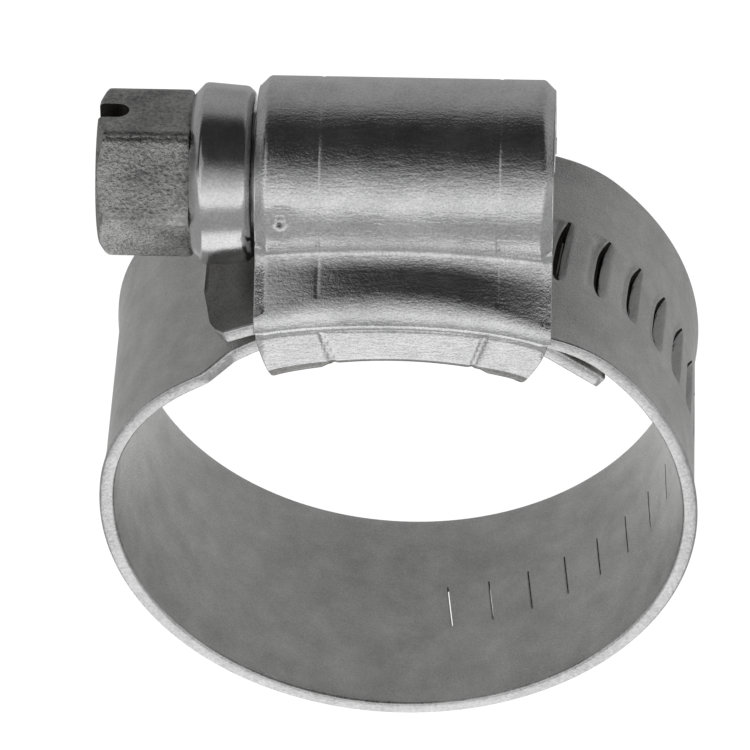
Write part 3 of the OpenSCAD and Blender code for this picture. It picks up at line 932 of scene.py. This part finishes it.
def build_worm():
    """Worm: its section turns once in every pitch."""
    count, per_mm = 48, 30
    sections = int((WORM_X1 - WORM_X0) * per_mm) + 1
    verts = []
    for i in range(sections):
        x = WORM_X0 + (WORM_X1 - WORM_X0) * i / (sections - 1)
        fade = ramp(x, WORM_X0, WORM_X0 + 0.5) * (1 - ramp(x, WORM_X1 - 0.5, WORM_X1))
        for k in range(count):
            # a crest passes the bottom of the worm at CREST_X
            phase = ((x - CREST_X) / WORM_P - k / count - 0.25) % 1.0
            off = min(phase, 1 - phase) * WORM_P
            rise = max(0.0, min(1.0, (CREST / 2 + FLANK - off) / FLANK))
            verts.append(about_axis(x, WORM_R - WORM_D + WORM_D * rise * fade, 2 * math.pi * k / count))
    faces = tube_faces(sections, count) + caps(sections, count)
    return make_object("screw_worm", verts, faces, [SHADED_STEEL], [0] * len(faces))


hexhead = build_hex()
cut_slot(hexhead)
# Chamfered and slightly tapered collar, then the neck and the run-in of the worm, these two in darker steel
# as painted shade
collar_steps = [
    (-0.25, 2.6), (0, 3.6), (0.02, 3.68), (0.08, 3.78), (0.48, 4.22), (0.55, 4.27), (0.66, 4.298),
    (0.9, 4.29), (2.45, 4.17), (2.58, 4.14), (2.66, 4.08), (2.86, 3.89), (2.91, 3.8), (2.92, 3.6),
    (2.92, 3.0), (2.94, 2.9),
]
collar_profile = [(COLLAR_X + x, r) for x, r in collar_steps] + [(-5.85, 2.9), (-5.4, 2.35), (-5.2, 2.3)]
collar = lathe("screw_collar", collar_profile, [COLLAR, SHADED_STEEL], lambda i: 0 if i < 14 else 1, 40)
worm = build_worm()
tip_profile = [
    (6.3, 0.0), (6.3, 2.3), (6.9, 2.3), (7.05, 2.27), (7.16, 2.15), (7.19, 2.0), (7.19, 0.9),
    (7.1, 0.6), (7.05, 0.0),
]
tip = lathe("screw_tip", tip_profile, [COLLAR], lambda i: 0, 12)
for piece in (hexhead, collar, worm, tip):
    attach(piece, "worm_screw")
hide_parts("worm_screw")


# ---------------------------------------------------------------- stage, light and camera
FLOOR_Z, FLOOR_REACH = -0.060, 3.0  # metres
FLOOR_GLOW, FLOOR_DIM = 1.0, 0.30  # glow of the floor inside and outside the lit strip
# The lit strip in mm: its middle, and where its sides, its front and its back fade
LIT_X, LIT_SIDE, LIT_FRONT, LIT_BACK = -5.0, (33.0, 40.0), (-116.0, -88.0), (100.0, 116.0)

# Studio surround: brightness by angle over the top, from the front horizon (0) to the back horizon (180).
SURROUND = [
    (-90, 0.4), (-14, 0.30), (-8, 0.5), (-3, 0.95), (6, 0.98), (17, 0.90), (24, 0.70), (31, 0.54),
    (38, 0.42), (46, 0.27), (54, 0.09), (61, 0.032), (109, 0.026), (115, 0.04), (121, 0.12),
    (127, 0.25), (150, 0.31), (182, 0.30), (270, 0.4),
]

KEY_PLACE, KEY_SIZE, KEY_WATTS = (-0.25, -0.20, 0.30), 0.30, 0.08

CAM_AZ, CAM_EL, CAM_ROLL, FOCAL = 3.19, 44.70, -1.11, 282.2
CAM_PLACE = (9.967, -202.696, 203.916)


def build_floor():
    """Pale table under the part, lit in a broad strip from front to back."""
    me = bpy.data.meshes.new("floor")
    corners = [(-1, -1), (1, -1), (1, 1), (-1, 1)]
    me.from_pydata([(x * FLOOR_REACH, y * FLOOR_REACH, FLOOR_Z) for x, y in corners], [], [(0, 1, 2, 3)])
    m, nt, bsdf = material("floor_white", (0.25, 0.25, 0.25), 0.85, 0.0)
    sep = nt.nodes.new("ShaderNodeSeparateXYZ")
    nt.links.new(mapped(nt, (1, 1, 1)), sep.inputs[0])
    off = math_node(nt, "ABSOLUTE", math_node(nt, "ADD", sep.outputs["X"], -LIT_X), 0)
    lit = ranged(nt, off, *LIT_SIDE, 1.0, 0.0)
    lit = math_node(nt, "MULTIPLY", lit, ranged(nt, sep.outputs["Y"], *LIT_FRONT, 0.0, 1.0))
    lit = math_node(nt, "MULTIPLY", lit, ranged(nt, sep.outputs["Y"], *LIT_BACK, 1.0, 0.0))
    bsdf.inputs["Emission Color"].default_value = (1, 1, 1, 1)
    nt.links.new(ranged(nt, lit, 0.0, 1.0, FLOOR_DIM, FLOOR_GLOW), bsdf.inputs["Emission Strength"])
    me.materials.append(m)
    floor = bpy.data.objects.new("floor", me)
    bpy.context.scene.collection.objects.link(floor)


def build_surround():
    """World whose brightness depends only on the angle over the top."""
    world = bpy.data.worlds.new("studio")
    bpy.context.scene.world = world
    world.use_nodes = True
    nt = world.node_tree
    nt.nodes.clear()
    coords = nt.nodes.new("ShaderNodeTexCoord")
    sep = nt.nodes.new("ShaderNodeSeparateXYZ")
    nt.links.new(coords.outputs["Generated"], sep.inputs[0])
    front = math_node(nt, "MULTIPLY", sep.outputs["Y"], -1.0)
    angle = math_node(nt, "ARCTAN2", sep.outputs["Z"], front)
    # counted from straight down; angles under -90 wrap round to the back
    turned = math_node(nt, "ADD", angle, math.pi / 2 + 2 * math.pi)
    share = math_node(nt, "DIVIDE", math_node(nt, "MODULO", turned, 2 * math.pi), 2 * math.pi)
    ramp_node = nt.nodes.new("ShaderNodeValToRGB")
    marks = ramp_node.color_ramp
    marks.interpolation = "EASE"
    while len(marks.elements) > 1:
        marks.elements.remove(marks.elements[-1])
    for i, (degrees, value) in enumerate(SURROUND):
        position = (degrees + 90) / 360
        mark = marks.elements[0] if i == 0 else marks.elements.new(position)
        mark.position = position
        mark.color = (value, value, value, 1)
    nt.links.new(share, ramp_node.inputs["Fac"])
    background = add(nt, "ShaderNodeBackground", Strength=1.0)
    nt.links.new(ramp_node.outputs["Color"], background.inputs["Color"])
    out = nt.nodes.new("ShaderNodeOutputWorld")
    nt.links.new(background.outputs[0], out.inputs[0])


def build_key():
    """Weak soft light from the upper left, aimed at the origin."""
    data = bpy.data.lights.new("soft_key", "AREA")
    data.shape = "RECTANGLE"
    data.size, data.size_y = KEY_SIZE, KEY_SIZE
    data.energy = KEY_WATTS
    key = bpy.data.objects.new("soft_key", data)
    key.location = KEY_PLACE
    key.rotation_euler = (-Vector(KEY_PLACE)).to_track_quat("-Z", "Y").to_euler()
    bpy.context.scene.collection.objects.link(key)


def build_camera():
    """Camera fitted to the outlines in the photograph."""
    az, el, roll = (math.radians(v) for v in (CAM_AZ, CAM_EL, CAM_ROLL))
    back = Vector((math.sin(az) * math.cos(el), -math.cos(az) * math.cos(el), math.sin(el)))
    right = Vector((math.cos(az), math.sin(az), 0))
    up = back.cross(right)
    cam_x = math.cos(roll) * right + math.sin(roll) * up
    cam_y = -math.sin(roll) * right + math.cos(roll) * up
    data = bpy.data.cameras.new("camera")
    data.sensor_width = 36
    data.lens = FOCAL
    data.dof.use_dof = False
    data.clip_start, data.clip_end = 0.01, 10
    cam = bpy.data.objects.new("camera", data)
    turn = Matrix((cam_x, cam_y, back)).transposed()
    cam.matrix_world = Matrix.Translation(Vector(CAM_PLACE) * MM) @ turn.to_4x4()
    bpy.context.scene.collection.objects.link(cam)
    bpy.context.scene.camera = cam


build_floor()
build_surround()
build_key()
build_camera()
view = bpy.context.scene.view_settings
view.view_transform = "Standard"
view.look = "None"
